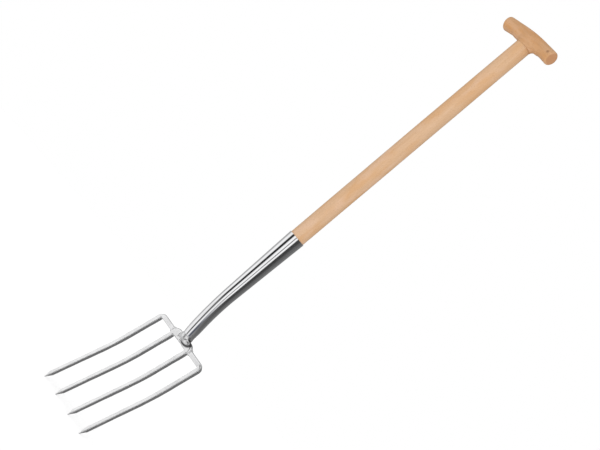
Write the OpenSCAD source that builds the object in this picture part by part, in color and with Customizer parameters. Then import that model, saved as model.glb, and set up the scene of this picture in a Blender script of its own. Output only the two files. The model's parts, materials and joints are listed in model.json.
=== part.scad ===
// Lawn aerator fork: long straight wooden shaft with a T grip, a polished tapered steel socket that
// cranks back at its foot, and a welded head of four dished square tines.
// Axes: +Z up along the shaft, +X to the right along the crossbar, -Y to the front, the side the
// tines reach towards. The origin is the middle of the line through the four tine points.

/* [Wooden shaft] */
// Largest diameter of the shaft
shaft_d = 37.2; // [35:0.2:39]
// Shaft length between the socket mouth and the shoulder under the grip
shaft_len = 598; // [450:2:750]
// Length of the shaft's tapered foot inside the socket
foot_len = 160; // [110:5:165]
// Diameter of the round tenon at the top of the shaft
tenon_d = 22; // [18:0.5:24]
// Length of that tenon
tenon_len = 25; // [18:0.5:27]

/* [T grip] */
// Length of the grip across the shaft
grip_len = 146; // [125:1:165]
// Sideways offset of the grip on the shaft
grip_shift = -1.8; // [-3:0.1:3]
// Diameter of the two wings
grip_d = 31.6; // [29:0.2:34]
// Radius of the arc along which the wings droop
grip_arc_r = 620; // [400:10:900]
// Diameter of the swollen middle of the grip
swell_d = 36.4; // [35.8:0.2:38]
// Diameter of the wooden dowel that pins the tenon
dowel_d = 8; // [6:0.5:10]

/* [Steel socket] */
// Outside diameter at the mouth
mouth_d = 39.5; // [38.6:0.1:41]
// Outside diameter where the crank starts
waist_d = 29.6; // [28.6:0.2:31]
// Outside diameter at the closed lower end
toe_d = 26.4; // [25:0.2:28]
// Wall thickness of the tube
wall = 1.5; // [1.2:0.1:2]
// Distance from the mouth down to the start of the crank
straight_len = 171.5; // [168:0.5:200]
// Height of the bend itself
bend_len = 95; // [80:1:110]
// Height of the straight part below the bend
toe_len = 30.5; // [27:0.5:45]
// Angle by which the lower end leans back
crank_deg = 10.5; // [8:0.1:12]
// Depth of the screw below the mouth
screw_drop = 35; // [20:1:60]

/* [Fork head] */
// Distance between the middles of the two outer tines
outer_pitch = 171; // [155:1:190]
// Distance between the middles of the two inner tines
inner_pitch = 60; // [54:1:66]
// Height from the tine points to the underside of the crossbar
tine_h = 249.3; // [220:0.1:280]
// Width of the square bar, seen from the front
bar_w = 10; // [9:0.2:11]
// Thickness of the bar from front to back
bar_t = 9; // [8:0.2:9.6]
// Width and thickness of a tine where its point begins
tip_w = 7.8; // [6:0.2:8]
// Length of the ground point
point_len = 14; // [10:1:20]
// Forward slope of the upper half of a tine
slope_up = 0.275; // [0.2:0.005:0.35]
// Forward slope of the lower half
slope_low = 0.424; // [0.36:0.005:0.5]
// Outside radius of the two outer corners of the head
corner_r = 12; // [8:0.5:16]
// Height of the arms of the crossbar
arm_h = 10.7; // [9:0.1:11]
// Height of the raised shoulders above the underside of the crossbar
shoulder_h = 18.2; // [17:0.1:19]

/* [Hidden] */
$fn = 96;
e = 0.02;
fit = 0.1;                                   // radial play between wood and tube
// side view of the head, measured from the shaft axis
front_y = 9;                                 // front face of the crossbar
back_y = front_y + bar_t;
knee_0 = 75;                                 // the dish starts this far below the crossbar
knee_w = 50;                                 // and is spread over this height
blunt = 1.2;                                 // flat left at the very point
// how far the front face of a tine has moved forward, d below the crossbar
function bow(d) = d < knee_0 ? 0 : d < knee_0 + knee_w ? pow(d - knee_0, 2) / (2 * knee_w)
                : d - knee_0 - knee_w / 2;
function lead(d) = slope_up * d + (slope_low - slope_up) * bow(d);
function slope_at(d) = slope_up + (slope_low - slope_up)
                     * min(1, max(0, (d - knee_0) / knee_w));
axis_y = lead(tine_h) - front_y - bar_t / 2 * sqrt(1 + slope_low * slope_low);
toe_gap = 20.2;                              // closed end of the tube above the crossbar's underside
mouth_z = tine_h + toe_gap + straight_len + bend_len + toe_len;
shoulder_z = mouth_z + shaft_len;            // seat of the grip on the shaft
grip_z = shoulder_z + 21.6;                  // middle of the wings at the shaft axis
swell_z = shoulder_z + 19.9;
// centre line of the socket below the mouth: a bend of this radius, then a leaning toe
lean = tan(crank_deg);
bend_r = bend_len / sin(crank_deg);
bend_z = mouth_z - straight_len;
toe_z = bend_z - bend_len - toe_len;
toe_y = bend_r * (1 - cos(crank_deg)) + lean * toe_len;
// stub that ties the head to the tube
stub_r = 10;
stub_up = 22;                                // length inside the tube
saddle_z = tine_h + 8;                       // seat of the stub on the crossbar
lip_z = tine_h + 5;                          // lower edge of the stub's two lips
saddle_x = stub_r + 0.3;
shoulder_r = 20;                             // outside round of the raised shoulders
shoulder_x = inner_pitch / 2 - 10;
// butt joint between arm and shoulder, where the round has come down to the arm's height
joint_x = shoulder_x + sqrt(pow(shoulder_r, 2) - pow(arm_h - shoulder_h + shoulder_r, 2));

beech = [0.86, 0.68, 0.50];
steel = [0.80, 0.81, 0.82];
bead = [0.66, 0.66, 0.66];

// ---- wood ----------------------------------------------------------------------------------
// Grip: two drooping round wings, a swollen middle, and a boss that runs into the shaft.
module wing_bar() {
    half = asin((grip_len / 2 - 2.5) / grip_arc_r);
    translate([0, 0, grip_z - grip_arc_r]) rotate([90, 0, 0])
        rotate([0, 0, 90 - half]) rotate_extrude(angle = 2 * half)
            translate([grip_arc_r, 0]) circle(d = grip_d);
    // eased end faces, started a little inside the bar
    for (s = [-1, 1]) translate([0, 0, grip_z - grip_arc_r]) rotate([0, s * half, 0])
        translate([-s * 0.3, 0, grip_arc_r]) rotate([0, s * 90, 0])
            cylinder(h = 2.8, d1 = grip_d - 0.4, d2 = grip_d - 4.4);
}

module swelling() {
    r = swell_d / 2;
    translate([0, 0, swell_z]) rotate([0, 90, 0]) rotate_extrude()
        intersection() {
            translate([r - 150, 0]) circle(r = 150);
            translate([0, -33]) square([r + 1, 66]);
        }
}

// Round boss with a domed top; its lower edge meets the shoulder of the shaft.
module boss() {
    r = swell_d / 2 + 0.3;
    translate([0, 0, shoulder_z]) rotate_extrude() polygon(concat([[0, 0], [r, 0]],
        [for (t = [0 : 10 : 70]) [r * cos(t), 14 + r * sin(t)]], [[0, 14 + r * sin(70)]]));
    // round of 7 mm between the boss and the undersides of the wings
    intersection() {
        translate([0, 0, shoulder_z]) rotate_extrude() polygon(concat(
            [[r - 2, 0]], [for (t = [165 : -12.5 : 90]) [r + 7 + 7 * cos(t), 7 * sin(t) - 1.8]],
            [[r + 7.5, 9], [r - 2, 9]]));
        translate([-40, -8, shoulder_z]) cube([80, 16, 20]);
    }
}

module grip_dowel_rod(d, l) {
    translate([0, swell_d / 2 - 0.35 - l, swell_z - 4]) rotate([-90, 0, 0]) cylinder(h = l, d = d);
}

module grip() color(beech) translate([0, axis_y, 0]) difference() {
    union() {
        translate([grip_shift, 0, 0]) { wing_bar(); swelling(); }
        boss();
    }
    translate([0, 0, shoulder_z - 20]) cylinder(h = 20 + tenon_len + 1, d = tenon_d + fit);
    translate([0, 0, shoulder_z - 20]) cylinder(h = 20, d = 60);
    grip_dowel_rod(dowel_d, 30);
    translate([0, 15, 0]) grip_dowel_rod(dowel_d, 30);
}

// Dowel driven in from the back; it stops inside the wood and doesn't reach the front.
module grip_dowel() color([0.80, 0.60, 0.42]) translate([0, axis_y, 0])
    grip_dowel_rod(dowel_d - e, 30);

// Shaft: tapered foot, long near-parallel body and a round tenon.
module shaft() color(beech) translate([0, axis_y, 0]) difference() {
    r_mouth = mouth_d / 2 - wall - fit;
    r_foot = r_mouth - (mouth_d - waist_d) / 2 * foot_len / straight_len;
    rotate_extrude() polygon([
        [0, mouth_z - foot_len], [r_foot - 1.5, mouth_z - foot_len],
        [r_foot + 0.05, mouth_z - foot_len + 2], [r_mouth, mouth_z],
        [shaft_d / 2, mouth_z + shaft_len * 0.35], [shaft_d / 2 - 0.15, shoulder_z],
        [tenon_d / 2, shoulder_z], [tenon_d / 2, shoulder_z + tenon_len - 1],
        [tenon_d / 2 - 1, shoulder_z + tenon_len], [0, shoulder_z + tenon_len]]);
    grip_dowel_rod(dowel_d, 30);
    screw_shape(e);
}

// ---- socket --------------------------------------------------------------------------------
// Solid tube shape, drawn in by g on its radius: a long cone, a round bend and a leaning toe
// with a 5 mm round at its closed end.
module tube(g, over = 0) {
    rise = (mouth_d - waist_d) / 2 / straight_len;
    translate([0, 0, bend_z]) cylinder(h = straight_len + over, r1 = waist_d / 2 - g,
        r2 = mouth_d / 2 - g + over * rise);
    translate([0, bend_r, bend_z]) rotate([0, 90, 0]) rotate([0, 0, -90])
        rotate_extrude(angle = crank_deg) translate([bend_r, 0]) circle(r = waist_d / 2 - g);
    toe(g);
}

module toe(g) {
    a = toe_d / 2 - g;
    r = 5 - g;
    h = toe_len / cos(crank_deg) + 0.3;      // reaches a little way into the bend
    translate([0, toe_y, toe_z]) rotate([crank_deg, 0, 0]) rotate_extrude() polygon(concat(
        [[0, g]], [for (t = [0 : 15 : 90]) [a - r + r * sin(t), 5 - r * cos(t)]],
        [[waist_d / 2 - g - 0.3, h], [0, h]]));
}

module socket() color(steel) translate([0, axis_y, 0]) difference() {
    tube(0);
    tube(wall, 2);
    stub_rod(e, 8);
    screw_shape(0);
}

// Countersunk wood screw, entering from the back through one wall of the tube.
module screw_shape(g) {
    y = mouth_d / 2 - (mouth_d - waist_d) / 2 * screw_drop / straight_len;
    translate([0, y + 0.15, mouth_z - screw_drop]) rotate([90, 0, 0]) {
        cylinder(h = 2.6, d1 = 8.4 + g, d2 = 4 + g);
        cylinder(h = 24, d = 4 + g);
        translate([0, 0, 24]) cylinder(h = 4, d1 = 4 + g, d2 = 0.8 + g);
        translate([0, 0, -2]) cylinder(h = 2.01, d = 8.4 + g);
    }
}

module socket_screw() color([0.72, 0.73, 0.75]) translate([0, axis_y, 0]) {
    y = mouth_d / 2 - (mouth_d - waist_d) / 2 * screw_drop / straight_len;
    z = mouth_z - screw_drop;
    difference() {
        screw_shape(-e);
        translate([-6, y + 0.15, z - 6]) cube([12, 6, 12]);
        // cross recess in the head
        for (a = [0, 90]) translate([0, y + 0.2, z]) rotate([0, a, 0])
            translate([-2.3, -1.6, -0.5]) cube([4.6, 2, 1]);
    }
}

// ---- neck ----------------------------------------------------------------------------------
// Round stub: its top sits inside the tube, its foot straddles the crossbar with two lips.
module stub_rod(g, up) {
    translate([0, toe_y, toe_z]) rotate([crank_deg, 0, 0])
        translate([0, 0, -20]) cylinder(h = 20 + up, r = stub_r + g);
}

module neck_stub() color([0.70, 0.70, 0.71]) translate([0, axis_y, 0]) difference() {
    union() {
        stub_rod(0, stub_up - 2);
        translate([0, toe_y, toe_z]) rotate([crank_deg, 0, 0])
            translate([0, 0, stub_up - 2]) cylinder(h = 2, r1 = stub_r, r2 = stub_r - 2);
    }
    translate([-20, -20, lip_z - 40]) cube([40, 80, 40]);
    translate([-20, front_y, lip_z - 1]) cube([40, bar_t, saddle_z - lip_z + 1]);
}

module neck_weld() color(bead) difference() {
    translate([0, axis_y, 0]) difference() {
        translate([0, toe_y, toe_z]) rotate([crank_deg, 0, 0]) translate([0, 0, -1.7])
            rotate_extrude() translate([stub_r + 0.6, 0]) circle(r = 3.3);
        stub_rod(0, 8);
        toe(0);
    }
    for (s = [0, 1]) mirror([s, 0, 0]) inner_head();
}

// ---- fork head -----------------------------------------------------------------------------
// Side view (y, z) of a tine hanging from the crossbar, dished forward and ground to a point.
function half_t(d) = let (p = tine_h - point_len, k = sqrt(1 + pow(slope_at(d), 2)))
    d <= p ? k * (bar_t + (tip_w - bar_t) * d / p) / 2
           : k * (tip_w + (blunt - tip_w) * (d - p) / point_len) / 2;
function mid_y(d) = front_y + bar_t / 2 * sqrt(1 + slope_up * slope_up) - lead(d);
stations = concat([for (i = [0 : 8]) knee_0 + knee_w * i / 8], [tine_h - point_len, tine_h]);
module side_view() polygon(concat(
    [[front_y, tine_h + 30], [front_y, tine_h]],
    [for (d = stations) [mid_y(d) - half_t(d), tine_h - d]],
    [for (i = [len(stations) - 1 : -1 : 0])
        [mid_y(stations[i]) + half_t(stations[i]), tine_h - stations[i]]],
    [[back_y, tine_h], [back_y, tine_h + 30]]));

// Front view (x, z) of one tine with its middle at x = m and its root at height top.
module tine_front(m, top) polygon([
    [m - bar_w / 2, top], [m - tip_w / 2, point_len], [m - blunt / 2, 0],
    [m + blunt / 2, 0], [m + tip_w / 2, point_len], [m + bar_w / 2, top]]);

module slab(y0 = -200, y1 = 200) {
    translate([0, y1, 0]) rotate([90, 0, 0]) linear_extrude(height = y1 - y0) children();
}

module head_cut() translate([-200, axis_y, 0]) rotate([90, 0, 90])
    linear_extrude(height = 400) side_view();

// Inner tine: the bar swells into a rounded shoulder and turns in to the seam.
module inner_front() {
    m = inner_pitch / 2;
    difference() {
        union() {
            tine_front(m, tine_h + 1);
            translate([0, tine_h]) square([m - bar_w / 2 + 1, saddle_z - tine_h]);
            translate([saddle_x, tine_h]) square([shoulder_x - saddle_x + e, shoulder_h]);
            intersection() {
                translate([shoulder_x, tine_h + shoulder_h - shoulder_r]) circle(r = shoulder_r);
                translate([shoulder_x, tine_h]) square([joint_x - shoulder_x, 30]);
            }
            // small round where the tine leaves the crossbar
            translate([m - bar_w / 2 - 4, tine_h - 4]) square([5, 5]);
        }
        translate([m - bar_w / 2 - 4 + 0.08, tine_h - 4]) circle(r = 4);
    }
}

module inner_head() intersection() {
    slab() inner_front();
    head_cut();
}

module seam_groove(r) translate([0, axis_y + front_y - 1, tine_h + 0.6]) rotate([-90, 0, 0])
    cylinder(h = bar_t + 2, r = r);

module inner_tine_right() color(steel) difference() { inner_head(); seam_groove(3); }
module inner_tine_left() color(steel) mirror([1, 0, 0]) difference() { inner_head(); seam_groove(3); }

// Bead that closes the seam between the two inner tines, seen on the underside.
module seam_weld() color(bead) intersection() {
    seam_groove(3 - e);
    translate([-5, axis_y + front_y, tine_h - 0.9]) cube([10, bar_t, saddle_z - tine_h]);
}

// Outer tine: an L-shaped bar whose arm butts against the shoulder of the inner tine.
module outer_front() {
    m = outer_pitch / 2;
    x1 = m + bar_w / 2;
    root = tine_h + arm_h - corner_r;
    difference() {
        union() {
            tine_front(m, root);
            translate([joint_x, tine_h]) square([x1 - corner_r - joint_x, arm_h]);
            intersection() {
                translate([x1 - corner_r, root]) circle(r = corner_r);
                translate([x1 - corner_r, root]) square([corner_r, corner_r]);
            }
            translate([m - bar_w / 2 - 3, tine_h - 3]) square([4, 4]);
        }
        translate([m - bar_w / 2 - 3 + 0.06, tine_h - 3]) circle(r = 3);
    }
}

module outer_tine() intersection() {
    slab() outer_front();
    head_cut();
}
module outer_tine_right() color(steel) outer_tine();
module outer_tine_left() color(steel) mirror([1, 0, 0]) outer_tine();

// Weld that eases the step from the arm up to the shoulder.
module arm_weld() color(bead) slab(axis_y + front_y + 0.6, axis_y + back_y - 0.6)
    translate([joint_x, tine_h + arm_h]) difference() {
        polygon([[10, 0], [5, 0.7], [2, 1.5], [-1.5, 2.7], [-5, 2.7], [-5, -3], [0, -3], [0, 0]]);
        translate([shoulder_x - joint_x, shoulder_h - shoulder_r - arm_h]) circle(r = shoulder_r);
        translate([-6, -4]) square([6, 4]);
    }
module arm_weld_right() arm_weld();
module arm_weld_left() mirror([1, 0, 0]) arm_weld();

grip();
grip_dowel();
shaft();
socket();
socket_screw();
neck_stub();
neck_weld();
inner_tine_left();
inner_tine_right();
seam_weld();
outer_tine_left();
outer_tine_right();
arm_weld_left();
arm_weld_right();
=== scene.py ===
"""Lawn aerator fork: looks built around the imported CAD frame. Lengths in the mesh code are millimetres."""
import json
import math

import bmesh
import bpy
import numpy as np
from mathutils import Matrix, Vector


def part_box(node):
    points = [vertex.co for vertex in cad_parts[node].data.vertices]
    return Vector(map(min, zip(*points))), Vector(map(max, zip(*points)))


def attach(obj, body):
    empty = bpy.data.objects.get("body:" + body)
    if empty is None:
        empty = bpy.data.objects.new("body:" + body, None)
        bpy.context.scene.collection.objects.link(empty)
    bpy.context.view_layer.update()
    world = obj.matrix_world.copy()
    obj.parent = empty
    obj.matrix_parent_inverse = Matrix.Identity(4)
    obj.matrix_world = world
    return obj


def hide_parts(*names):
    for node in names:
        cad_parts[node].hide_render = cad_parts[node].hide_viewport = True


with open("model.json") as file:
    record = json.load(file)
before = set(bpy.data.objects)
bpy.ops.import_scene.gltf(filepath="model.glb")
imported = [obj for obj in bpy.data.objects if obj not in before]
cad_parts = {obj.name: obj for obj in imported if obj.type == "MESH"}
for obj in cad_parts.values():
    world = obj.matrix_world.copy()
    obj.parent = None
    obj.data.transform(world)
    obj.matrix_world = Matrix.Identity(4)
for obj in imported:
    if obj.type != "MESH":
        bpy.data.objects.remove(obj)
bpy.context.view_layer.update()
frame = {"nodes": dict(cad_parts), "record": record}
MM = 0.001

# ---- sizes taken from the frame (mm) --------------------------------------------------------
def box_mm(node):
    """Low and high corner of a CAD node, in millimetres."""
    return tuple(v * 1000 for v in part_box(node))


shaft_lo, shaft_hi = box_mm("shaft")
socket_lo, socket_hi = box_mm("socket")
grip_lo, grip_hi = box_mm("grip")
AXIS_Y = (shaft_lo.y + shaft_hi.y) / 2
MOUTH_Z = socket_hi.z
MOUTH_R = (socket_hi.x - socket_lo.x) / 2
SHOULDER_H = 18.2                       # raised shoulders above the underside of the crossbar
TINE_H = box_mm("inner_tine_right")[1].z - SHOULDER_H   # underside of the crossbar
TENON_H = 25
SEAT_Z = shaft_hi.z - TENON_H           # the shoulder that the grip sits on
FRONT_Y = 9.0                           # front of the crossbar behind the shaft's axis
BAR_T, BAR_W = 9.0, 10.0                # bar section, front to back and side to side
ARM_H, CORNER_R, SHOULDER_R = 10.7, 14.5, 20.0
INNER_X = 30.0                          # middle of the inner tine
OUTER_X = box_mm("outer_tine_right")[1].x - BAR_W / 2
TIP_W, BLUNT, POINT = 7.8, 1.2, 14.0    # bar above the point, width of the tip, length of the point
SADDLE_H = 8.0                          # low part of the crossbar between the shoulders
WAIST_R, NECK_R, TOE_R = 15.3, 14.2, 13.2   # tube at the end of its straight part, of its bend, of its toe
WALL, STUB_R = 1.5, 10.0
STRAIGHT, BEND_H, TOE_H = 171.5, 95.0, 30.5
CRANK = math.radians(10.5)
BEND_R = BEND_H / math.sin(CRANK)
TOE_ROUND = 5.0                         # round at the closed end of the tube
BEND_Z = MOUTH_Z - STRAIGHT
TOE_Z = BEND_Z - BEND_H - TOE_H
TOE_Y = BEND_R * (1 - math.cos(CRANK)) + math.tan(CRANK) * TOE_H
SHOULDER_IN = 10                        # centre of the shoulder's round, inwards from the inner tine
# where the arm meets the round of the shoulder
JOINT_X = INNER_X - SHOULDER_IN + math.sqrt(SHOULDER_R ** 2 - (ARM_H - SHOULDER_H + SHOULDER_R) ** 2)


# ---- mesh helpers -----------------------------------------------------------------------------
def add_mesh(name, verts, faces):
    me = bpy.data.meshes.new(name)
    me.from_pydata([tuple(v) for v in np.asarray(verts) * MM], [], faces)
    me.update()
    ob = bpy.data.objects.new(name, me)
    bpy.context.scene.collection.objects.link(ob)
    me.polygons.foreach_set("use_smooth", [True] * len(me.polygons))
    return ob


def span(a, b, step):
    """Even steps of at most the given size from a to b, both included."""
    return np.linspace(a, b, max(2, int(math.ceil((b - a) / step)) + 1))


def smooth_min(a, b, k):
    """Joins two regions with a fillet about k wide."""
    h = np.clip(0.5 + 0.5 * (b - a) / k, 0, 1)
    return b + (a - b) * h - k * h * (1 - h)


def smooth_step(x, a, b):
    t = np.clip((x - a) / (b - a), 0, 1)
    return t * t * (3 - 2 * t)


GRADIENT_STEP, SLIDES = 0.02, 4         # for sliding the points of a mesh onto its surface


def rounded(a, b, r):
    """Overlap of two regions, each measured from r inside its edge, with the corner rounded by r."""
    return np.minimum(np.maximum(a, b), 0) + np.hypot(np.maximum(a, 0), np.maximum(b, 0)) - r


def field_mesh(name, field, xs, ys, zs, warp=None, cut=None):
    """Skins the surface field = 0 with quads on a stretched grid, then slides each point onto it."""
    X, Y, Z = np.meshgrid(xs, ys, zs, indexing="ij")
    val = field(X, Y, Z)
    inside = val < 0
    n = (len(xs) - 1, len(ys) - 1, len(zs) - 1)
    corners = [(i, j, k) for i in (0, 1) for j in (0, 1) for k in (0, 1)]

    def view(a, c):
        return a[c[0]:c[0] + n[0], c[1]:c[1] + n[1], c[2]:c[2] + n[2]]

    count = sum(view(inside, c).astype(int) for c in corners)
    active = (count > 0) & (count < 8)
    total = np.zeros(n + (3,))
    hits = np.zeros(n)
    P = np.stack([X, Y, Z], -1)
    for a in corners:
        for axis in range(3):
            if a[axis]:
                continue
            b = tuple(v + (i == axis) for i, v in enumerate(a))
            va, vb = view(val, a), view(val, b)
            cross = (va < 0) != (vb < 0)
            t = np.where(cross, va / np.where(cross, va - vb, 1), 0)[..., None]
            total += np.where(cross[..., None], view(P, a) * (1 - t) + view(P, b) * t, 0)
            hits += cross
    pts = total[active] / hits[active][:, None]
    index = np.full(n, -1)
    index[active] = np.arange(len(pts))
    faces = []
    for axis in range(3):
        o1, o2 = [(1, 2), (2, 0), (0, 1)][axis]
        lo = [slice(None)] * 3
        hi = [slice(None)] * 3
        lo[axis], hi[axis] = slice(0, -1), slice(1, None)
        a_in, b_in = inside[tuple(lo)], inside[tuple(hi)]
        i, j, k = np.nonzero(a_in != b_in)
        e = np.stack([i, j, k], -1)
        ok = (e[:, o1] > 0) & (e[:, o1] < n[o1]) & (e[:, o2] > 0) & (e[:, o2] < n[o2])
        e = e[ok]
        out = a_in[e[:, 0], e[:, 1], e[:, 2]]
        quad = []
        for d1, d2 in ((1, 1), (0, 1), (0, 0), (1, 0)):
            c = e.copy()
            c[:, o1] -= d1
            c[:, o2] -= d2
            quad.append(index[c[:, 0], c[:, 1], c[:, 2]])
        quad = np.stack(quad, -1)
        quad[~out] = quad[~out][:, ::-1]
        faces.append(quad)
    faces = np.concatenate(faces)
    limit = min(np.diff(xs).min(), np.diff(ys).min(), np.diff(zs).min())
    h = GRADIENT_STEP
    for _ in range(SLIDES):
        f0 = field(*pts.T)
        g = np.stack([field(*(pts + h * np.eye(3)[a]).T) - field(*(pts - h * np.eye(3)[a]).T)
                      for a in range(3)], -1) / (2 * h)
        move = -f0[:, None] * g / np.maximum((g * g).sum(-1), 0.05)[:, None]
        size = np.linalg.norm(move, axis=1)
        pts = pts + move * np.minimum(1, limit / np.maximum(size, 1e-9))[:, None]
    if warp:
        pts = np.stack(warp(*pts.T), -1)
    ob = add_mesh(name, pts, faces.tolist())
    if cut:
        bm = bmesh.new()
        bm.from_mesh(ob.data)
        for point, normal in cut:
            r = bmesh.ops.bisect_plane(bm, geom=bm.verts[:] + bm.edges[:] + bm.faces[:], dist=1e-7,
                                       plane_co=Vector(point) * MM, plane_no=normal, clear_outer=True)
            edges = [g for g in r["geom_cut"] if isinstance(g, bmesh.types.BMEdge)]
            cap = bmesh.ops.contextual_create(bm, geom=edges)
            for f in cap["faces"]:
                f.smooth = False
            for e in edges:
                if e.is_valid:
                    e.smooth = False
        bm.normal_update()
        bm.to_mesh(ob.data)
        bm.free()
    return ob


def rings_mesh(name, rings, closed=True):
    """Joins equal rings of points with quads; closed joins the last ring to the first."""
    m = len(rings[0])
    faces = []
    for a in range(len(rings) - (0 if closed else 1)):
        b = (a + 1) % len(rings)
        faces += [(a * m + i, a * m + (i + 1) % m, b * m + (i + 1) % m, b * m + i) for i in range(m)]
    if not closed:
        faces += [tuple(range(m))[::-1], tuple((len(rings) - 1) * m + i for i in range(m))]
    return add_mesh(name, np.concatenate(rings), faces)


def store_painted_shade(piece, distance, reach):
    """Stores painted shade: how far each point lies inside a crevice, from 0 to 1, faded out towards the
    left.
    """
    me = piece.data
    pts = np.empty(len(me.vertices) * 3)
    me.vertices.foreach_get("co", pts)
    x, y, z = pts.reshape(-1, 3).T / MM
    painted_shade = (1 - smooth_step(distance(x, y, z), 0.3 * reach, reach)) * smooth_step(x, -6, 8)
    layer = me.attributes.new("painted_shade", "FLOAT", "POINT")
    layer.data.foreach_set("value", painted_shade)


def place(piece, node):
    """Puts a visual piece in the place of its CAD node."""
    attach(piece, "root")
    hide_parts(node)
    return piece


# ---- fork head -----------------------------------------------------------------------------------
KNEE_0, KNEE_W = 75.0, 50.0             # start and height of the bend in the tines, below the crossbar
SLOPE_UP, SLOPE_LOW = 0.275, 0.424      # lean of the tines above and below that bend
WAVE_FROM, WAVE_FULL = 20, 60           # the bars are slightly wavy above their points
TOP_BEND = 6.0                          # the tines leave the crossbar through a bend this tall


def bow(d):
    """How far the bend of the tines has added to their lean, d below the crossbar."""
    in_bend = (d - KNEE_0) ** 2 / (2 * KNEE_W)
    below = d - KNEE_0 - KNEE_W / 2
    return np.where(d < KNEE_0, 0, np.where(d < KNEE_0 + KNEE_W, in_bend, below))


def head_warp(x, v, z):
    """Straight bars (depth v about 0) to the dished head."""
    d = TINE_H - z
    drop = np.where(d > TOP_BEND, d, np.where(d < -TOP_BEND, 0, (d + TOP_BEND) ** 2 / (4 * TOP_BEND)))
    slope = SLOPE_UP + (SLOPE_LOW - SLOPE_UP) * np.clip((d - KNEE_0) / KNEE_W, 0, 1)
    k = 1 + (np.sqrt(1 + slope ** 2) - 1) * smooth_step(d, -4, 8)
    lead = SLOPE_UP * drop + (SLOPE_LOW - SLOPE_UP) * bow(d)
    return x, AXIS_Y + FRONT_Y + BAR_T / 2 * k - lead + v * k, z


def bar_half(z, full):
    """Half width of a tine: slow taper down the tine, then the ground point."""
    return np.where(z > POINT, TIP_W + (full - TIP_W) * (z - POINT) / (TINE_H - POINT),
                    BLUNT + (TIP_W - BLUNT) * np.clip(z, 0, POINT) / POINT) / 2


def tine_front(x, z, m):
    """Front outline of a tine whose middle is at x = m."""
    wave = 0.10 * np.sin(z * 0.093 + m) + 0.07 * np.sin(z * 0.21 + 2 * m)
    return np.maximum(np.abs(x - m) - bar_half(z, BAR_W) - wave * smooth_step(z, WAVE_FROM, WAVE_FULL), -z)


def thicken(flat, v, half, r):
    """Gives a flat outline a depth of 2 * half with edges rounded by r."""
    return rounded(flat + r, np.abs(v) - half + r, r)


def round_corner(x, z, x1, z1, r):
    """Region left of x1 and below z1 with an outer corner of radius r."""
    return rounded(x - x1 + r, z - z1 + r, r)


def shoulder_front(x, z):
    """Front outline of the raised, rounded shoulder on top of the inner tine."""
    h = z - TINE_H
    d = round_corner(x, h, INNER_X - SHOULDER_IN + SHOULDER_R, SHOULDER_H, SHOULDER_R)
    return np.maximum(np.maximum(d, STUB_R + 0.5 - x), np.maximum(-h, x - JOINT_X - 1.5))


def arm_front(x, z):
    """Front outline of the arm between shoulder and outer corner."""
    h = z - TINE_H
    return np.maximum(np.maximum(JOINT_X - 3 - x, x - OUTER_X - BAR_W / 2), np.maximum(-h, h - ARM_H))


def depth_half(z):
    """Half thickness of a tine, front to back."""
    wave = 0.08 * np.sin(z * 0.071 + 1.3) + 0.05 * np.sin(z * 0.17)
    return bar_half(z, BAR_T) + wave * smooth_step(z, WAVE_FROM, WAVE_FULL)


def edge_round(z, tine, bar, top):
    """Radius of the long edges: on the tine, at its root and on top of the crossbar."""
    base = tine + (bar - tine) * smooth_step(z, TINE_H - 10, TINE_H + 2)
    base = base + (top - bar) * smooth_step(z, TINE_H + 2, TINE_H + 7)
    return np.minimum(base, 0.75 * bar_half(z, BAR_T) + 0.25 * base * (z > TINE_H))


def inner_field(x, v, z):
    bridge = np.maximum(np.maximum(-0.1 - x, x - INNER_X), np.maximum(TINE_H - z, z - TINE_H - SADDLE_H))
    head = smooth_min(shoulder_front(x, z), bridge, 3.0)
    tine = np.maximum(tine_front(x, z, INNER_X), z - TINE_H - 6)
    flat = smooth_min(head, tine, 3.2)
    half = depth_half(z) + 0.7 * smooth_step(z, TINE_H - 4, TINE_H + 5)
    return thicken(flat, v, half, edge_round(z, 1.2, 2.6, 4.4))


def outer_field(x, v, z):
    tine = tine_front(x, z, OUTER_X)
    flat = smooth_min(arm_front(x, z), tine, 2.6)
    flat = np.maximum(flat, round_corner(x, z - TINE_H, OUTER_X + BAR_W / 2, ARM_H, CORNER_R))
    return thicken(flat, v, depth_half(z), edge_round(z, 1.2, 1.8, 4.3))


def weld_field(x, v, z):
    """Dressed bead between arm and shoulder, hollow where the two bars are."""
    arm, shoulder = arm_front(x, z), shoulder_front(x, z)
    flat = smooth_min(arm, shoulder, 7.5)
    body = thicken(flat, v, BAR_T / 2 + 0.25, 4.2)
    core = thicken(np.minimum(arm, shoulder) + 0.8, v, BAR_T / 2 - 0.6, 2.0)
    window = np.maximum(JOINT_X - 4 - x, x - JOINT_X - 8)
    ripple = 0.05 * np.sin(2.1 * x + 0.9 * v)
    sunk = 0.75 * smooth_step(np.abs(x - JOINT_X - 2), 1.5, 5.5)
    return np.maximum(np.maximum(body + ripple + sunk, window), -core)


def mirrored(ob, name):
    """Left-hand twin of a right-hand piece."""
    me = ob.data.copy()
    me.name = name
    me.transform(Matrix.Scale(-1, 4, (1, 0, 0)))
    me.flip_normals()
    twin = bpy.data.objects.new(name, me)
    bpy.context.scene.collection.objects.link(twin)
    return twin


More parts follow.
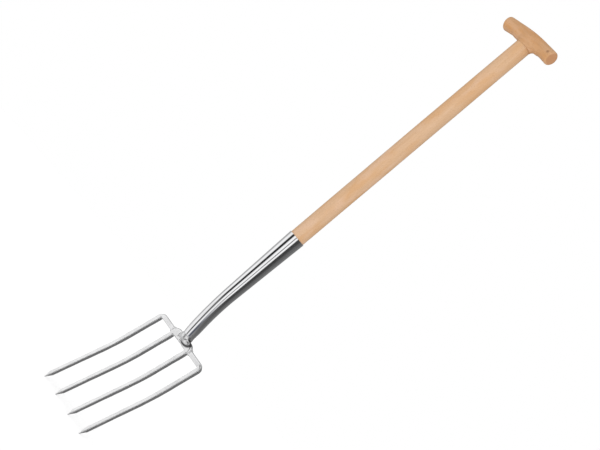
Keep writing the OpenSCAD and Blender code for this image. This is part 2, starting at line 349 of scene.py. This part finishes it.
FINE, COARSE, BEAD_STEP = 0.8, 3, 0.5   # grid steps: bars near their ends, plain bars, weld beads
SEAM_GAP = 0.05                         # half of the gap between the two inner tines
zs = np.concatenate([span(-1.0, 18, FINE)[:-1],
                     span(18, TINE_H - 16, COARSE)[:-1],
                     span(TINE_H - 16, TINE_H + 19, FINE)])
vs = span(-6.4, 6.4, FINE)
right_cut = [((JOINT_X, 0, 0), (1, 0, 0)), ((SEAM_GAP, 0, 0), (-1, 0, 0))]
steel_pieces = {}
inner = field_mesh("inner_tine_right_forged", inner_field, span(-1, 40, FINE), vs, zs,
                   head_warp, right_cut)
outer = field_mesh("outer_tine_right_forged", outer_field, span(JOINT_X - 5, OUTER_X + 7, FINE), vs, zs,
                   head_warp)
weld = field_mesh("arm_weld_right_bead", weld_field, span(JOINT_X - 6, JOINT_X + 10, BEAD_STEP),
                  span(-6, 6, BEAD_STEP), span(TINE_H - 2, TINE_H + 16, BEAD_STEP), head_warp)
for ob, node, slot in ((inner, "inner_tine_right", "satin_steel"), (outer, "outer_tine_right", "satin_steel"),
                       (weld, "arm_weld_right", "weld_steel")):
    twin = mirrored(ob, ob.name.replace("right", "left"))
    steel_pieces[node] = place(ob, node)
    steel_pieces[node.replace("right", "left")] = place(twin, node.replace("right", "left"))

# ---- neck -----------------------------------------------------------------------------------------
NECK_STEP, SEAM_STEP = 0.6, 0.4         # grid steps
HEAD_SINK = 0.4                         # the stub and its weld reach this far into the crossbar
WELD_TOP = 2.6                          # upper edge of the neck weld, up the tube from its closed end


def lean_frame(x, y, z):
    """World point to the leaning frame of the socket's toe: z runs up the tube from its closed end."""
    c, s = math.cos(CRANK), math.sin(CRANK)
    dy, dz = y - AXIS_Y - TOE_Y, z - TOE_Z
    return x, c * dy + s * dz, -s * dy + c * dz


def head_block(x, y, z):
    """The crossbar and both shoulders, for seating the stub and the weld."""
    v = y - AXIS_Y - FRONT_Y - BAR_T / 2
    ax = np.abs(x)
    bridge = np.maximum(ax - INNER_X, np.maximum(TINE_H - z, z - TINE_H - SADDLE_H))
    return thicken(smooth_min(shoulder_front(ax, z), bridge, 3.0), v, BAR_T / 2 + 0.7, 3.0)


def stub_field(x, y, z):
    """Round stub that leans with the tube and stands on the crossbar."""
    a, b, c = lean_frame(x, y, z)
    rod = np.maximum(np.hypot(a, b) - STUB_R, c - 8)
    d = np.maximum(rod, TINE_H + 6 - z)
    return np.maximum(d, -head_block(x, y, z) - HEAD_SINK)


def ellipsoid(x, y, z, centre, half):
    """Rough distance to an ellipsoid."""
    q = np.sqrt(sum(((p - c) / h) ** 2 for p, c, h in zip((x, y, z), centre, half)) + 1e-9)
    return (q - 1) * min(half)


def neck_weld_field(x, y, z):
    """Ground weld round the foot of the tube: fuller on the front right, where it runs onto the shoulder."""
    a, b, c = lean_frame(x, y, z)
    phi = np.arctan2(b, a)
    round_body = np.hypot(a, b) - TOE_R + 0.25 + 0.05 * (c + 3) ** 2 * (c < -3) - 0.07 * np.sin(22 * phi)
    collar = -smooth_min(-round_body, WELD_TOP - c, 1.2)
    collar = np.maximum(collar, -8 - c)
    middle = ellipsoid(x, y, z, (0.0, AXIS_Y + 14.5, TINE_H + 17.5), (13.0, 12.6, 12.2))
    lobe = ellipsoid(x, y, z, (10.0, AXIS_Y + FRONT_Y + 0.5, TINE_H + 14.0), (16.8, 4.8, 9.6))
    lobe = -smooth_min(-lobe, TINE_H + SHOULDER_H - 0.6 - z, 3.0)
    d = smooth_min(smooth_min(lobe, middle, 3.0), collar, 3.5)
    d = np.maximum(d, c - WELD_TOP)
    return np.maximum(d, -head_block(x, y, z) - HEAD_SINK)


y0 = AXIS_Y + TOE_Y
stub = field_mesh("neck_stub_forged", stub_field, span(-12, 12, NECK_STEP),
                  span(y0 - 13, y0 + 14, NECK_STEP), span(TINE_H + 4, TOE_Z + 11, NECK_STEP))
place(stub, "neck_stub")
ring = field_mesh("neck_weld_bead", neck_weld_field, span(-16, 28, NECK_STEP),
                  span(y0 - 16, y0 + 16, NECK_STEP), span(TINE_H + 3, TOE_Z + 4, NECK_STEP))
place(ring, "neck_weld")
# painted shade in the crevices where the neck weld meets the crossbar and the inner tine
store_painted_shade(ring, lambda x, y, z: np.maximum(head_block(x, y, z), 0), 2.0)
store_painted_shade(inner, lambda x, y, z: np.maximum(neck_weld_field(x, y, z), 0), 1.9)


def seam_field(x, v, z):
    """Bead under the joint of the two inner tines."""
    d = np.hypot(x * 0.8, (z - TINE_H - 1.4) * 1.1) - 2.0 - 0.08 * np.sin(3.4 * v)
    return np.maximum(d, np.abs(v) - BAR_T / 2 + 0.2)


seam = field_mesh("seam_weld_bead", seam_field, span(-4, 4, SEAM_STEP), span(-5.5, 5.5, SEAM_STEP),
                  span(TINE_H - 3, TINE_H + 5, SEAM_STEP), head_warp)
place(seam, "seam_weld")

# ---- socket -------------------------------------------------------------------------------------
def tube_stations():
    """(y, z, lean, radius) down the tube's centre line."""
    out = []
    for s in np.linspace(0, 1, 42):
        out.append((0.0, MOUTH_Z - STRAIGHT * s, 0.0, MOUTH_R + (WAIST_R - MOUTH_R) * s))
    for s in np.linspace(0, 1, 25)[1:]:
        a = CRANK * s
        out.append((BEND_R * (1 - math.cos(a)), BEND_Z - BEND_R * math.sin(a), a,
                    NECK_R + (WAIST_R - NECK_R) * (1 - s) ** 2))
    top = TOE_H / math.cos(CRANK)
    for s in np.linspace(0, 1, 12)[1:]:
        h = top + (TOE_ROUND - top) * s
        out.append((TOE_Y - math.sin(CRANK) * h, TOE_Z + math.cos(CRANK) * h, CRANK,
                    NECK_R + (TOE_R - NECK_R) * s * s))
    return out


def tube_ring(y, z, lean, r, count=96):
    """Ring of points across the tube, tilted back by lean."""
    a = np.linspace(0, 2 * math.pi, count, endpoint=False)
    side = np.array([0, math.cos(lean), math.sin(lean)])
    return (np.array([0, AXIS_Y + y, z]) + np.outer(r * np.cos(a), [1, 0, 0])
            + np.outer(r * np.sin(a), side))


def toe_ring(h, r):
    """Ring of radius r, h up the tube from its closed end."""
    return tube_ring(TOE_Y - math.sin(CRANK) * h, TOE_Z + math.cos(CRANK) * h, CRANK, r)


LIP = 0.5                               # rounding of the edge at the mouth
HOLE_IN, HOLE_EASE = 5.4, 5             # hole for the stub and its eased edge, inwards from the outside
TOE_INSIDE = TOE_ROUND - WALL
INNER_EASE = 0.3                        # bevel inside the mouth
stations = tube_stations()
rings = []
for t in np.radians([0, 30, 60, 90]):                     # rounded lip at the mouth
    r = MOUTH_R - LIP + LIP * math.sin(t)
    rings.append(tube_ring(0, MOUTH_Z - LIP + LIP * math.cos(t), 0, r))
rings += [tube_ring(*s) for s in stations[1:]]
for t in np.radians([15, 30, 45, 60, 75, 90]):            # round at the closed end
    rings.append(toe_ring(TOE_ROUND * (1 - math.sin(t)), TOE_R - TOE_ROUND * (1 - math.cos(t))))
rings.append(toe_ring(0, TOE_R - HOLE_IN))
rings.append(toe_ring(WALL, TOE_R - HOLE_IN))
rings.append(toe_ring(WALL, TOE_R - HOLE_EASE))
for t in np.radians([60, 30, 0]):                         # the same round from inside
    rings.append(toe_ring(TOE_ROUND - TOE_INSIDE * math.sin(t), TOE_R - TOE_ROUND + TOE_INSIDE * math.cos(t)))
rings += [tube_ring(y, z, lean, r - WALL) for y, z, lean, r in stations[::-1][1:-1]]
rings.append(tube_ring(0, MOUTH_Z - INNER_EASE, 0, MOUTH_R - WALL))
rings.append(tube_ring(0, MOUTH_Z, 0, MOUTH_R - WALL + INNER_EASE))
socket = rings_mesh("socket_tube", rings[::-1])
place(socket, "socket")

# ---- wood -----------------------------------------------------------------------------------------
def lathe(name, profile, count=96):
    """Turns (radius, height) pairs round the shaft's axis; the thick part is slightly out of round."""
    rings = []
    a = np.linspace(0, 2 * math.pi, count, endpoint=False)
    for r, z in profile:
        w = 0.06 * np.sin(z * 0.013 + 2 * a) + 0.04 * np.sin(z * 0.031 + 3 * a + 1) if r > 15 else 0
        rings.append(np.stack([(r + w) * np.cos(a), AXIS_Y + (r + w) * np.sin(a), np.full(count, z)], -1))
    return rings_mesh(name, rings, closed=False)


SHAFT_R = (shaft_hi.x - shaft_lo.x) / 2
FULL_R = SHAFT_R - 0.1                  # leaves room for the turned waviness
SWELL_END, SWELL_POWER = 0.35, 0.8      # share of the visible length over which the shaft thickens
UPPER_TAPER = 0.12
TENON_R = 11.0
length = SEAT_Z - MOUTH_Z
r_mouth = MOUTH_R - WALL - 0.12
foot_z = shaft_lo.z
taper = (MOUTH_R - WAIST_R) / STRAIGHT
foot_r = r_mouth - 0.1 - (MOUTH_Z - foot_z) * taper
profile = [(foot_r - 1.5, foot_z), (foot_r, foot_z + 2)]
profile += [(r_mouth, MOUTH_Z - 4), (r_mouth, MOUTH_Z + 1)]
for s in np.linspace(0.02, 1, 70)[:-1]:
    if s < SWELL_END:
        r = r_mouth + (FULL_R - r_mouth) * (s / SWELL_END) ** SWELL_POWER
    else:
        r = FULL_R - UPPER_TAPER * (s - SWELL_END) / (1 - SWELL_END)
    profile.append((r, MOUTH_Z + 1 + (length - 1) * s))
profile += [(SHAFT_R - 0.24, SEAT_Z - 0.5), (SHAFT_R - 0.6, SEAT_Z), (TENON_R, SEAT_Z),
            (TENON_R, SEAT_Z + TENON_H - 1), (TENON_R - 1, SEAT_Z + TENON_H)]
shaft = lathe("shaft_turned", profile)
place(shaft, "shaft")

GRIP_X = (grip_lo.x + grip_hi.x) / 2    # the grip sits a little to the left on the shaft
GRIP_HALF = (grip_hi.x - grip_lo.x) / 2 - 1.2
GRIP_ARC, GRIP_Z = 620.0, 21.7          # radius of the droop, and height of the wings above the seat
WING_R, END_GROWTH, END_ROUND = 15.4, 0.4, 4.3
SWELL_R, SWELL_Z, SWELL_HALF = 17.5, 19.1, 36   # swollen middle of the grip
GRIP_STEP = 1.4


def grip_field(x, y, z):
    """Two drooping round wings that grow a little towards their ends, a swollen middle and a boss."""
    xs, cz = x - GRIP_X, GRIP_Z - GRIP_ARC
    rho, s = np.hypot(xs, z - cz), GRIP_ARC * np.arctan2(xs, z - cz)
    rad = WING_R + END_GROWTH * (s / 65) ** 2
    a, b = np.hypot(rho - GRIP_ARC, y) - rad + END_ROUND, np.abs(s) - GRIP_HALF + END_ROUND
    wing = rounded(a, b, END_ROUND)
    swell = np.hypot(y, z - SWELL_Z) - (SWELL_R - (xs / 33) ** 2 * 2.6)
    boss = np.maximum(np.hypot(x, y) - SHAFT_R - 0.05, z - 20)
    d = smooth_min(wing, np.maximum(swell, np.abs(xs) - SWELL_HALF), 5.0)
    return smooth_min(d, boss, 9.0)


grip = field_mesh("grip_turned", grip_field,
                  span(-78, 76, GRIP_STEP), span(-22, 22, GRIP_STEP), span(-5, 42, GRIP_STEP),
                  lambda x, y, z: (x, y + AXIS_Y, z + SEAT_Z), [((0, 0, SEAT_Z), (0, 0, -1))])
place(grip, "grip")


# ---- materials --------------------------------------------------------------------------------
def material(name, build):
    """New material whose node tree is filled by build(tree, shader)."""
    mat = bpy.data.materials.new(name)
    mat.use_nodes = True
    nt = mat.node_tree
    build(nt, nt.nodes["Principled BSDF"])
    return mat


def node(nt, kind, inputs=None, **props):
    """New node; an input is either another node's output to link or a plain value."""
    n = nt.nodes.new(kind)
    for k, v in props.items():
        setattr(n, k, v)
    for k, v in (inputs or {}).items():
        if isinstance(v, bpy.types.NodeSocket):
            nt.links.new(v, n.inputs[k])
        else:
            n.inputs[k].default_value = v
    return n


def ramp(nt, fac, stops):
    """Colour ramp through (position, grey value or colour) stops."""
    n = node(nt, "ShaderNodeValToRGB", {"Fac": fac})
    el = n.color_ramp.elements
    while len(el) < len(stops):
        el.new(0.5)
    for e, (pos, col) in zip(el, stops):
        e.position = pos
        e.color = tuple(col) + (1,) if isinstance(col, (tuple, list)) else (col, col, col, 1)
    return n.outputs["Color"]


def mapped(nt, scale, rotation=(0, 0, 0)):
    tc = node(nt, "ShaderNodeTexCoord")
    inputs = {"Vector": tc.outputs["Object"], "Scale": scale, "Rotation": rotation}
    return node(nt, "ShaderNodeMapping", inputs).outputs[0]


def noise(nt, vec, scale, detail=3.0, rough=0.5):
    inputs = {"Vector": vec, "Scale": scale, "Detail": detail, "Roughness": rough}
    return node(nt, "ShaderNodeTexNoise", inputs).outputs["Fac"]


def mix(nt, fac, a, b):
    """Blends colour a into colour b by fac."""
    n = node(nt, "ShaderNodeMix", data_type="RGBA")
    for key, v in ((0, fac), (6, a), (7, b)):
        if isinstance(v, bpy.types.NodeSocket):
            nt.links.new(v, n.inputs[key])
        else:
            n.inputs[key].default_value = v if key == 0 else tuple(v) + (1,)
    return n.outputs[2]


def math_node(nt, op, a, b=0.0):
    return node(nt, "ShaderNodeMath", {0: a, 1: b}, operation=op).outputs[0]


def bump(nt, bsdf, height, strength, distance):
    b = node(nt, "ShaderNodeBump", {"Height": height, "Strength": strength, "Distance": distance})
    nt.links.new(b.outputs[0], bsdf.inputs["Normal"])


def tinted(color, red, green, blue):
    return (color[0] * red, color[1] * green, color[2] * blue)


def fade(nt, value, start, end):
    """0 at start, 1 at end, held outside."""
    return node(nt, "ShaderNodeMapRange", {"Value": value, "From Min": start, "From Max": end}).outputs[0]


PITH_Z = 1.21                           # heart of the year rings on the grip's ends (m)
KNOT_EDGE, KNOT_CORE = 0.0045, 0.0015   # radii of a knot's rim and dark core (m)
RING_PITCH = 2600.0                     # year rings: radians a metre


def wood(light, dark, along, mottle=1.0, knot=None):
    """Light hardwood: streaks, orange and pale clouds and small flecks along the grain, pinker end grain."""
    def stretched(factor):
        return [factor if i == along else 1.0 for i in range(3)]

    def build(nt, bsdf):
        streak = noise(nt, mapped(nt, stretched(0.06)), 220, 4, 0.6)
        warm = noise(nt, mapped(nt, stretched(0.30)), 42, 2)
        pale = noise(nt, mapped(nt, stretched(0.35), (0.4, 0.2, 0.3)), 65, 2)
        base = mix(nt, ramp(nt, streak, [(0.35, 0.0), (0.75, 0.8)]), light, dark)
        orange, chalky = tinted(light, 0.95, 0.82, 0.62), tinted(light, 1.05, 1.07, 1.18)
        base = mix(nt, ramp(nt, warm, [(0.44, 0.0), (0.66, 0.55 * mottle)]), base, orange)
        base = mix(nt, ramp(nt, pale, [(0.48, 0.0), (0.70, 0.50 * mottle)]), base, chalky)
        fleck = noise(nt, mapped(nt, stretched(0.22)), 1500, 1, 0.4)
        marks = ramp(nt, fleck, [(0.64, 0.0), (0.72, 1.0)])
        base = mix(nt, math_node(nt, "MULTIPLY", marks, 0.4), base, tinted(dark, 0.55, 0.5, 0.5))
        tc = node(nt, "ShaderNodeTexCoord")
        facing = node(nt, "ShaderNodeSeparateXYZ", {0: tc.outputs["Normal"]}).outputs[along]
        place_xyz = node(nt, "ShaderNodeSeparateXYZ", {0: tc.outputs["Object"]}).outputs
        across = [place_xyz[i] for i in range(3) if i != along]
        rise = math_node(nt, "SUBTRACT", across[1], PITH_Z)
        squares = [math_node(nt, "POWER", v, 2.0) for v in (across[0], rise)]
        radius = math_node(nt, "SQRT", math_node(nt, "ADD", *squares))
        rings = math_node(nt, "SINE", math_node(nt, "MULTIPLY", radius, RING_PITCH))
        end_color = mix(nt, math_node(nt, "MULTIPLY", math_node(nt, "ADD", rings, 1.0), 0.5),
                        tinted(light, 0.98, 0.84, 0.80), tinted(dark, 0.92, 0.80, 0.80))
        end_mask = fade(nt, math_node(nt, "ABSOLUTE", facing), 0.88, 0.97)
        base = mix(nt, math_node(nt, "MULTIPLY", end_mask, 0.75), base, end_color)
        if knot:
            gap = node(nt, "ShaderNodeVectorMath", {0: tc.outputs["Object"], 1: knot}, operation="DISTANCE")
            core = fade(nt, gap.outputs["Value"], KNOT_EDGE, KNOT_CORE)
            base = mix(nt, math_node(nt, "MULTIPLY", core, 0.7), base, tinted(dark, 0.50, 0.40, 0.32))
        nt.links.new(base, bsdf.inputs["Base Color"])
        rough = node(nt, "ShaderNodeMapRange", {"Value": streak, "To Min": 0.38, "To Max": 0.52})
        nt.links.new(rough.outputs[0], bsdf.inputs["Roughness"])
        bsdf.inputs["Specular IOR Level"].default_value = 0.4
        height = math_node(nt, "SUBTRACT", streak, math_node(nt, "MULTIPLY", marks, 0.3))
        bump(nt, bsdf, height, 0.12, 0.0006)
    return build


CREVICE_SHADE_COLOR = (0.035, 0.034, 0.036)           # painted shade: near-black colour laid into the crevices round the neck weld, on the right-hand side


def steel(color, rough_lo, rough_hi, stretch, scale, strength, distance, wave=0.0):
    """Steel with fine lines stretched along one axis, faint clouds and, if wave is set, slow waves."""
    def build(nt, bsdf):
        bsdf.inputs["Metallic"].default_value = 1.0
        lines = noise(nt, mapped(nt, stretch), scale, 3, 0.55)
        cloud = noise(nt, mapped(nt, (1, 1, 1)), 45, 3)
        base = mix(nt, ramp(nt, cloud, [(0.3, 0.0), (0.7, 1.0)]), color, [c * 0.93 for c in color])
        # painted shade: the stored crevice value darkens the base colour nearly to black
        painted_shade = node(nt, "ShaderNodeAttribute", attribute_name="painted_shade").outputs["Fac"]
        nt.links.new(mix(nt, math_node(nt, "MULTIPLY", painted_shade, 0.93), base, CREVICE_SHADE_COLOR), bsdf.inputs["Base Color"])
        both = math_node(nt, "ADD", math_node(nt, "MULTIPLY", lines, 0.6),
                         math_node(nt, "MULTIPLY", cloud, 0.4))
        r = node(nt, "ShaderNodeMapRange", {"Value": both, "From Min": 0.3, "From Max": 0.7,
                                            "To Min": rough_lo, "To Max": rough_hi})
        nt.links.new(r.outputs[0], bsdf.inputs["Roughness"])
        height = lines
        if wave:
            slow = noise(nt, mapped(nt, (1, 1, 0.35)), 38, 1)
            height = math_node(nt, "ADD", lines, math_node(nt, "MULTIPLY", slow, wave))
        bump(nt, bsdf, height, strength, distance)
    return build


ALONG_X, ALONG_Y, ALONG_Z = 0, 1, 2      # direction of the grain
KNOT_AT = Vector((62, AXIS_Y - 15.2, SEAT_Z + 20.4)) * MM   # on the front of the grip's right wing
looks = {
    "shaft_wood": material("beech_shaft", wood((0.690, 0.450, 0.275), (0.620, 0.380, 0.205), ALONG_Z,
                                               mottle=1.3)),
    "grip_wood": material("beech_grip", wood((0.615, 0.355, 0.180), (0.500, 0.265, 0.120), ALONG_X,
                                             mottle=1.6, knot=KNOT_AT)),
    "dowel_wood": material("beech_dowel", wood((0.50, 0.28, 0.14), (0.40, 0.21, 0.10), ALONG_Y)),
    "polished_steel": material("steel_polished", steel((0.86, 0.86, 0.87), 0.045, 0.11, (1, 1, 0.03),
                                                       900, 0.03, 0.0003, 6)),
    "satin_steel": material("steel_satin", steel((0.87, 0.87, 0.875), 0.20, 0.34, (1, 1, 0.05),
                                                 700, 0.10, 0.0004, 1.5)),
    "weld_steel": material("steel_weld", steel((0.83, 0.83, 0.835), 0.22, 0.40, (1, 1, 1),
                                               260, 0.25, 0.0005)),
    "screw_steel": material("steel_screw", steel((0.72, 0.72, 0.73), 0.22, 0.35, (1, 0.2, 1),
                                                 700, 0.10, 0.0003)),
}
slot_of = {s["node"]: s["material_slot"] for s in frame["record"]["subparts"]}
pieces = {"grip": grip, "shaft": shaft, "socket": socket,
          "neck_stub": stub, "neck_weld": ring, "seam_weld": seam}
pieces.update(steel_pieces)
for name, cad in frame["nodes"].items():
    ob = pieces.get(name, cad)
    ob.data.materials.clear()
    ob.data.materials.append(looks[slot_of[name]])

# ---- stage, light and camera ------------------------------------------------------------------
FLOOR_R = 3.2
bpy.ops.mesh.primitive_circle_add(vertices=96, radius=FLOOR_R, fill_type="NGON", location=(0, 0.05, 0))
floor = bpy.context.object
floor.name = "floor"
floor.visible_glossy = False
floor.visible_diffuse = False


def floor_look(nt, bsdf):
    """Matt white that glows a little, so that it runs into the white behind it."""
    fine = noise(nt, mapped(nt, (1, 1, 1)), 3, 2)
    nt.links.new(ramp(nt, fine, [(0.0, 0.97), (1.0, 1.0)]), bsdf.inputs["Base Color"])
    bsdf.inputs["Roughness"].default_value = 0.9
    bsdf.inputs["Specular IOR Level"].default_value = 0.0
    bsdf.inputs["Emission Color"].default_value = (1, 1, 1, 1)
    bsdf.inputs["Emission Strength"].default_value = 0.32


floor.data.materials.append(material("floor_pale", floor_look))

AZIMUTH, ELEVATION, ROLL = math.radians(40.12), math.radians(-0.72), math.radians(49.82)
DISTANCE, LENS, SENSOR = 2.935, 87.0, 36.0
toward = Vector((math.sin(AZIMUTH) * math.cos(ELEVATION),
                 -math.cos(AZIMUTH) * math.cos(ELEVATION),
                 math.sin(ELEVATION)))
level = (-toward).cross(Vector((0, 0, 1))).normalized()
upright = level.cross(-toward)
cam_x = math.cos(ROLL) * level + math.sin(ROLL) * upright
cam_y = -math.sin(ROLL) * level + math.cos(ROLL) * upright
target = Vector((-21.45, AXIS_Y, MOUTH_Z + 21.6)) * MM
cam_data = bpy.data.cameras.new("camera")
cam_data.lens, cam_data.sensor_width = LENS, SENSOR
cam = bpy.data.objects.new("camera", cam_data)
bpy.context.scene.collection.objects.link(cam)
rot = Matrix((cam_x, cam_y, toward)).transposed().to_4x4()
cam.matrix_world = Matrix.Translation(target + toward * DISTANCE) @ rot
bpy.context.scene.camera = cam

# Studio: white all round for the eye and for soft light; reflections see upright soft boxes and dark flags
# that stand round the fork. Angles are degrees from the camera's side, negative to its left.
BANDS = [(-180, 1.05), (-174, 0.95), (-170, 0.45), (-160, 0.50), (-130, 0.42), (-116, 0.62),
         (-103, 1.05), (-80, 1.08), (-72, 0.75), (-67, 0.02), (-45, 0.02), (-39, 0.5), (-33, 1.1),
         (-13, 1.1), (-8, 0.16), (-2, 0.16), (3, 1.12), (17, 1.12), (25, 0.07), (31, 0.045), (55, 0.06),
         (75, 0.13), (98, 0.15), (115, 0.19), (135, 0.21), (165, 0.25), (175, 0.95), (180, 1.05)]
# the same ring as met by rays that go down by about 20 degrees
LOW_BANDS = [(-180, 0.50), (-120, 0.70), (-100, 1.0), (-64, 1.05), (-56, 0.60), (-50, 0.05),
             (-37, 0.05), (-31, 0.70), (-25, 1.08), (-9, 1.05),
             (0, (0.30, 0.31, 0.35)), (8, (0.10, 0.11, 0.14)), (23, (0.10, 0.11, 0.14)),
             (34, 0.27), (50, 0.26), (75, 0.20), (110, 0.17), (150, 0.20), (180, 0.40)]
LOW, HIGH = 0.60, 0.58                  # brightness straight below and straight above
LOWER_KEY = 0.5                         # the soft light comes from the camera's side and a little from below
SOFT_BACK, SOFT_FRONT = 0.35, 1.50      # soft light on the far side and on the camera's side

world = bpy.data.worlds.new("studio")
world.use_nodes = True
bpy.context.scene.world = world
nt = world.node_tree
nt.nodes.clear()
direction = node(nt, "ShaderNodeTexCoord").outputs["Generated"]
flat_toward = Vector((toward.x, toward.y, 0)).normalized()


def dot(vec):
    """How far the looked-up direction points along vec, from -1 to 1."""
    product = node(nt, "ShaderNodeVectorMath", {0: direction, 1: tuple(vec)}, operation="DOT_PRODUCT")
    return product.outputs["Value"]


angle = math_node(nt, "ARCTAN2", dot(level), dot(flat_toward))
turn = math_node(nt, "ADD", math_node(nt, "DIVIDE", angle, 2 * math.pi), 0.5)
bands, low_bands = (ramp(nt, turn, [((a + 180) / 360, v) for a, v in table])
                    for table in (BANDS, LOW_BANDS))
rise = dot((0, 0, 1))
glossy_color = mix(nt, fade(nt, rise, -0.12, -0.33), bands, low_bands)
glossy_color = mix(nt, fade(nt, rise, -0.45, -0.80), glossy_color, (LOW, LOW, LOW))
glossy_color = mix(nt, fade(nt, rise, 0.72, 0.97), glossy_color, (HIGH, HIGH, HIGH))
key = (flat_toward - Vector((0, 0, LOWER_KEY))).normalized()
side = node(nt, "ShaderNodeMapRange", {"Value": dot(key), "From Min": -1.0, "From Max": 1.0,
                                       "To Min": SOFT_BACK, "To Max": SOFT_FRONT}).outputs[0]
path = node(nt, "ShaderNodeLightPath")
soft = node(nt, "ShaderNodeBackground", {"Color": (1, 1, 1, 1), "Strength": side})
shiny = node(nt, "ShaderNodeBackground", {"Color": glossy_color, "Strength": 1.0})
seen = node(nt, "ShaderNodeBackground", {"Color": (1, 1, 1, 1), "Strength": 1.0})
light = soft.outputs[0]
for ray, background in (("Is Glossy Ray", shiny), ("Is Camera Ray", seen)):
    chosen = node(nt, "ShaderNodeMixShader", {0: path.outputs[ray], 1: light, 2: background.outputs[0]})
    light = chosen.outputs[0]
node(nt, "ShaderNodeOutputWorld", {"Surface": light})

bpy.context.scene.view_settings.view_transform = "Standard"
